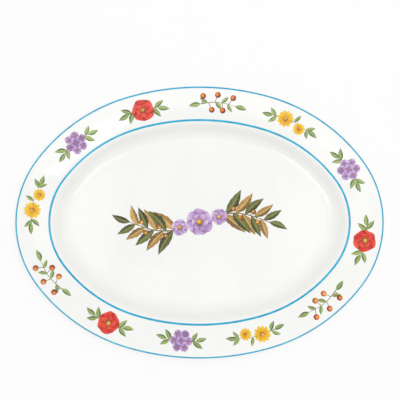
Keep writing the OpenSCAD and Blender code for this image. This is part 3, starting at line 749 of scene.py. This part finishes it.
yellowPetals = {"name": "yellowEnamel", "rays": 11, "start": 0.15, "slim": 0.2, "shortest": 0.94,
                "ruffle": 0.02, "lift": 0.12, "step": 0.006, "thickness": 0.2, "grid": (8, 4), "seed": 21,
                "streaks": 5.0, "streakDepth": 0.4, "edge": 0.4, "edgeColour": "#D88208",
                "stops": [(0.2, "#D06A04"), (0.4, "#ECA404"), (0.66, "#F6C808"), (0.96, "#FADC50")],
                "heads": [(-7, 1, 9.5), (11, -3, 7)]}

draw = random.Random(yellowPetals["seed"])
bm = newDrawing()
for place in sprigPlaces("daisy"):
    for x, y, radius in yellowPetals["heads"]:
        for k in range(yellowPetals["rays"]):
            turn = upward + k * 2 * math.pi / yellowPetals["rays"]
            reach = radius * draw.uniform(yellowPetals["shortest"], 1)
            shape = petalOutline(radius * yellowPetals["start"], reach, radius * yellowPetals["slim"],
                                 yellowPetals["ruffle"], 0)
            lift = yellowPetals["lift"] + k * yellowPetals["step"]
            addPatch(bm, shape, place @ spot(x, y, turn, lift), yellowPetals["grid"], draw.random())
yellowEnamel = petalEnamel(yellowPetals)
layPrint(bm, "yellowPetals", yellowEnamel, "yellow_petals",
         yellowPetals["thickness"], True)

draw = random.Random(peachHips["seed"])
bm = newDrawing()
for place in sprigPlaces("hip"):
    for hip in hipPlaces:
        matrix = place @ spot(hip.x, hip.y, 0, peachHips["lift"])
        addDot(bm, peachHips["radius"], matrix, draw.random(), segments=24)
layPrint(bm, "peachHips", dotEnamel(peachHips), "peach_hips", peachHips["thickness"], True)

rimEyes = {"name": "ochreEnamel", "red": 2.8, "floret": 1, "daisy": 2.4, "lift": 0.3, "thickness": 0.32,
           "stamens": 11, "stamenRing": 4.6, "stamenScatter": (0.88, 1.1), "stamen": 0.5, "seed": 13,
           "light": (0.4, 0.62, 0.0), "stipple": 0.5, "stippleDepth": 0.5,
           "stops": [(0.3, "#F6DC93"), (0.5, "#E3B24A"), (0.72, "#B9812A"), (0.95, "#7A4E16")]}

draw = random.Random(rimEyes["seed"])
bm = newDrawing()
for place in sprigPlaces("red"):
    addDot(bm, rimEyes["red"], place @ spot(0, 0, 0, rimEyes["lift"]), draw.random())
    for k in range(rimEyes["stamens"]):
        angle = k * 2 * math.pi / rimEyes["stamens"]
        reach = rimEyes["stamenRing"] * draw.uniform(*rimEyes["stamenScatter"])
        stamen = spot(reach * math.cos(angle), reach * math.sin(angle), 0, rimEyes["lift"])
        addDot(bm, rimEyes["stamen"], place @ stamen, draw.random(), segments=8)
for place in sprigPlaces("lilac"):
    for floret in floretPlaces:
        matrix = place @ spot(floret.x, floret.y, 0, rimEyes["lift"])
        addDot(bm, rimEyes["floret"], matrix, draw.random(), segments=12)
for place in sprigPlaces("daisy"):
    for x, y, radius in yellowPetals["heads"]:
        size = rimEyes["daisy"] * radius / yellowPetals["heads"][0][2]
        addDot(bm, size, place @ spot(x, y, 0, rimEyes["lift"]), draw.random())
ochreEnamel = dotEnamel(rimEyes)
layPrint(bm, "rimEyes", ochreEnamel, "rim_eyes", rimEyes["thickness"], True)


# Spray in the well: two leafy arms, the second turned half round, with three blossoms in the middle

spray = {"arm": 78, "bow": 10, "pairs": 5, "firstLeaf": 0.36, "lastLeaf": 0.9, "stagger": 0.02,
         "leafAngle": 50}
armStem = (Vector((0, 0)), Vector((spray["arm"], 0)), spray["bow"])
armTurns = (spot(0, 0), spot(0, 0, math.pi))


def leafShare(i):
    return spray["firstLeaf"] + (spray["lastLeaf"] - spray["firstLeaf"]) * i / (spray["pairs"] - 1)


def leafFoot(share, side):                            # where a leaf or stalk leaves an arm, and its way
    foot, heading = bowed(*armStem, share)
    return foot, heading + side * math.radians(spray["leafAngle"])


sprayBerries = {"name": "berryEnamel", "radius": 2.7, "stalk": 6, "lift": 0.16, "thickness": 0.18,
                "seed": 17, "light": (0.36, 0.64, 0.0), "stipple": 0.8, "stippleDepth": 0.15,
                "stops": [(0.12, "#F9E3A6"), (0.28, "#E6B04C"), (0.5, "#C8822A"), (0.72, "#84511C")]}
stalks = []                                           # foot and berry of each stalk on an arm
for i in range(spray["pairs"] - 1):
    side = 1 if i % 2 == 0 else -1
    share = (leafShare(i) + leafShare(i + 1)) / 2 + side * spray["stagger"]
    foot, way = leafFoot(share, side)
    stalks.append((foot, foot + sprayBerries["stalk"] * Vector((math.cos(way), math.sin(way)))))

sprayStems = {"width": 1.8, "stalkWidth": 0.9, "lift": 0.13, "thickness": 0.15,
              "grid": (28, 2), "stalkGrid": (6, 2)}
bm = newDrawing()
for arm in armTurns:
    lifted = arm @ spot(0, 0, 0, sprayStems["lift"])
    addPatch(bm, stemOutline(*armStem, sprayStems["width"]), lifted, sprayStems["grid"])
    for foot, berry in stalks:
        shape = stemOutline(foot, berry, 0, sprayStems["stalkWidth"])
        addPatch(bm, shape, lifted, sprayStems["stalkGrid"])
bmesh.ops.remove_doubles(bm, verts=bm.verts, dist=closeGap)   # the two arms' stems meet in the middle
layPrint(bm, "sprayStems", brownEnamel, "spray_stems", sprayStems["thickness"], False)

# the two tones of leaf take turns along each side of an arm, and the dark ones lie over the amber ones
sprayLeaves = {"length": 38, "width": 12.5, "shrink": 0.42, "spread": 0.03, "bend": 1.5,
               "thickness": 0.1, "grid": (20, 8)}
lightLeaves = {"name": "amberLeafEnamel", "node": "spray_light_leaves", "slot": "light_leaf_enamel",
               "firstSide": -1, "endLeaf": False, "lift": 0.03, "seed": 31, "brush": 4,
               "veins": 6, "vein": "#DDBF78",
               "stops": [(0.2, "#5E3F14"), (0.46, "#8F6523"), (0.7, "#B5873A"), (0.92, "#D2AE64")]}
darkLeaves = {"name": "darkLeafEnamel", "node": "spray_dark_leaves", "slot": "dark_leaf_enamel",
              "firstSide": 1, "endLeaf": True, "lift": 0.08, "seed": 37, "brush": 4,
              "veins": 6, "vein": "#96954E",
              "stops": [(0.2, "#1E210A"), (0.46, "#3A3F15"), (0.7, "#585C24"), (0.92, "#7A7B38")]}

for name, leaves in (("sprayLightLeaves", lightLeaves), ("sprayDarkLeaves", darkLeaves)):
    draw = random.Random(leaves["seed"])
    bm = newDrawing()
    places = []
    for side in (1, -1):
        first = 0 if side == leaves["firstSide"] else 1
        places += [(leafShare(i) + side * spray["stagger"], side) for i in range(first, spray["pairs"], 2)]
    if leaves["endLeaf"]:
        places.append((1, 0))
    for arm in armTurns:
        for share, side in places:
            foot, way = leafFoot(share, side)
            size = 1 - sprayLeaves["shrink"] * share
            lift = leaves["lift"] + sprayLeaves["spread"] * draw.random()
            bend = draw.uniform(-1, 1) * sprayLeaves["bend"]
            shape = leafOutline(sprayLeaves["length"] * size, sprayLeaves["width"] * size, bend)
            matrix = arm @ spot(foot.x, foot.y, way, lift)
            addPatch(bm, shape, matrix, sprayLeaves["grid"], draw.random())
    layPrint(bm, name, leafEnamel(leaves), leaves["node"], sprayLeaves["thickness"], False)

draw = random.Random(sprayBerries["seed"])
bm = newDrawing()
for arm in armTurns:
    for foot, berry in stalks:
        matrix = arm @ spot(berry.x, berry.y, 0, sprayBerries["lift"])
        addDot(bm, sprayBerries["radius"], matrix, draw.random(), segments=24)
berryEnamel = dotEnamel(sprayBerries)
layPrint(bm, "sprayBerries", berryEnamel, "spray_berries", sprayBerries["thickness"], False)

# place, radius, petals, half width of a petal and radius of the eye of each blossom
sprayBlossoms = {"start": 0.6, "ruffle": 0.055, "inner": 0.6, "lift": 0.16, "step": 0.016,
                 "headStep": 0.005, "thickness": 0.3, "grid": (12, 8), "seed": 41,
                 "heads": [(22, 6, 9, 5, 5.4, 2.2), (-22, -6, 9, 5, 5.4, 2.2), (0, 0, 15, 6, 7.6, 3.6)]}

draw = random.Random(sprayBlossoms["seed"])
bm = newDrawing()
for head, (x, y, radius, count, half, eye) in enumerate(sprayBlossoms["heads"]):
    for ring, size in enumerate((1, sprayBlossoms["inner"])):
        for k in range(count):
            turn = upward + (k + ring / 2) * 2 * math.pi / count
            lift = sprayBlossoms["lift"] + head * sprayBlossoms["headStep"]
            lift += (ring * count + k) * sprayBlossoms["step"]
            phase = draw.uniform(0, petalShape["lastPhase"])
            shape = petalOutline(sprayBlossoms["start"], radius * size, half * size,
                                 sprayBlossoms["ruffle"], phase)
            addPatch(bm, shape, spot(x, y, turn, lift), sprayBlossoms["grid"], draw.random())
layPrint(bm, "sprayBlossoms", lilacEnamel, "spray_blossoms",
         sprayBlossoms["thickness"], False)

sprayEyes = {"name": "yellowEyeEnamel", "lift": 0.4, "thickness": 0.42, "seed": 43,
             "stamens": 12, "stamenRing": 1.6, "stamenScatter": (0.9, 1.1), "stamen": 0.14,
             "light": (0.4, 0.62, 0.0), "stipple": 0.6, "stippleDepth": 0.5,
             "stops": [(0.3, "#FBE99A"), (0.5, "#F3C63F"), (0.72, "#D0901F"), (0.95, "#8A5A14")]}

draw = random.Random(sprayEyes["seed"])
bm = newDrawing()
for x, y, radius, count, half, eye in sprayBlossoms["heads"]:
    addDot(bm, eye, spot(x, y, 0, sprayEyes["lift"]), draw.random(), segments=24)
    for k in range(sprayEyes["stamens"]):
        angle = k * 2 * math.pi / sprayEyes["stamens"]
        reach = eye * sprayEyes["stamenRing"] * draw.uniform(*sprayEyes["stamenScatter"])
        stamen = spot(x + reach * math.cos(angle), y + reach * math.sin(angle), 0, sprayEyes["lift"])
        addDot(bm, eye * sprayEyes["stamen"], stamen, draw.random(), segments=8)
layPrint(bm, "sprayEyes", dotEnamel(sprayEyes), "spray_eyes",
         sprayEyes["thickness"], False)


# White table, world and lamps

table = {"size": 6000, "stops": [(0.3, "#FCFCFC"), (0.7, "#FEFEFE")], "grain": 40,
         "plain": "#FFFFFF", "shown": 0.7}


def whiteTable():                                     # matt white board, mostly plain white to the camera
    material = newMaterial("whiteTable")
    place = addNode(material, "ShaderNodeTexCoord").outputs["Object"]
    mottle = addNode(material, "ShaderNodeTexNoise", {},
                     {"Vector": place, "Scale": perMetre(table["grain"])})
    colour = addNode(material, "ShaderNodeValToRGB", {"stops": table["stops"]},
                     {"Fac": mottle.outputs["Fac"]})
    board = addNode(material, "ShaderNodeBsdfDiffuse", {}, {"Color": colour.outputs["Color"]})
    plain = addNode(material, "ShaderNodeEmission", {},
                    {"Color": hexColour(table["plain"]), "Strength": 1.0})
    ray = addNode(material, "ShaderNodeLightPath")
    looked = addNode(material, "ShaderNodeMath", {"operation": "MAXIMUM"},
                     {0: ray.outputs["Is Camera Ray"], 1: ray.outputs["Is Glossy Ray"]})
    seen = addNode(material, "ShaderNodeMath", {"operation": "MULTIPLY"},
                   {0: looked.outputs[0], 1: table["shown"]})
    surface = addNode(material, "ShaderNodeMixShader", {},
                      {0: seen.outputs[0], 1: board.outputs[0], 2: plain.outputs[0]})
    addNode(material, "ShaderNodeOutputMaterial", {}, {"Surface": surface.outputs[0]})
    return material


bm = bmesh.new()
bmesh.ops.create_grid(bm, x_segments=1, y_segments=1, size=table["size"] / 2 * mm)
tableMesh = bpy.data.meshes.new("table")
bm.to_mesh(tableMesh)
bm.free()
tableMesh.materials.append(whiteTable())
tableTop = bpy.data.objects.new("table", tableMesh)
scene.collection.objects.link(tableTop)

sky = {"light": 0.68, "colour": "#FFFFFF"}
world = bpy.data.worlds.new("studio")
scene.world = world
world.use_nodes = True
world.node_tree.nodes.clear()
ray = addNode(world, "ShaderNodeLightPath")
shown = addNode(world, "ShaderNodeMath", {"operation": "MAXIMUM"},
                {0: ray.outputs["Is Camera Ray"], 1: ray.outputs["Is Glossy Ray"]})
strength = addNode(world, "ShaderNodeMapRange", {},
                   {"Value": shown.outputs[0], "To Min": sky["light"], "To Max": 1.0})
background = addNode(world, "ShaderNodeBackground", {},
                     {"Color": hexColour(sky["colour"]), "Strength": strength.outputs["Result"]})
addNode(world, "ShaderNodeOutputWorld", {}, {"Surface": background.outputs[0]})

# the overhead lamp and the world light the platter; the other lamps only show as reflections in the glaze
# place of the middle, width and depth, turn, and brightness where white is 1; all face straight down
lamps = {
    "overhead": {"place": (110, 130, 1490), "size": (500, 500), "turn": 0, "bright": 9.2},
    "softbox": {"place": (-20, -300, 1400), "size": (410, 240), "turn": 0, "bright": 1.1},
    "leftGleam": {"place": (116, -362, 1380), "size": (170, 110), "turn": 38, "bright": 2.2},
    "rightGleam": {"place": (-132, -272, 1380), "size": (110, 70), "turn": -47, "bright": 1.2},
    "leftGlow": {"place": (440, -620, 1360), "size": (330, 600), "turn": 0, "bright": 2.4},
    "rightGlow": {"place": (-530, -590, 1360), "size": (700, 450), "turn": -52, "bright": 3.5},
    "streak": {"place": (-69, -150, 1400), "size": (324, 40), "turn": 0, "bright": 0.8},
    "leftPanel": {"place": (-330, 0, 1400), "size": (260, 400), "turn": 0, "bright": 0.8},
    "rightPanel": {"place": (330, 20, 1400), "size": (260, 400), "turn": 0, "bright": 0.8},
}

for name, lamp in lamps.items():
    data = bpy.data.lights.new(name, "AREA")
    data.shape = "RECTANGLE"
    data.size = lamp["size"][0] * mm
    data.size_y = lamp["size"][1] * mm
    data.energy = lamp["bright"] * math.pi * data.size * data.size_y      # watts that give this brightness
    box = bpy.data.objects.new(name, data)
    box.location = Vector(lamp["place"]) * mm
    box.rotation_euler.z = math.radians(lamp["turn"])
    box.visible_camera = False
    box.visible_diffuse = name == "overhead"
    box.visible_glossy = name != "overhead"
    scene.collection.objects.link(box)
print("stage, world and", len(lamps), "lamps set")
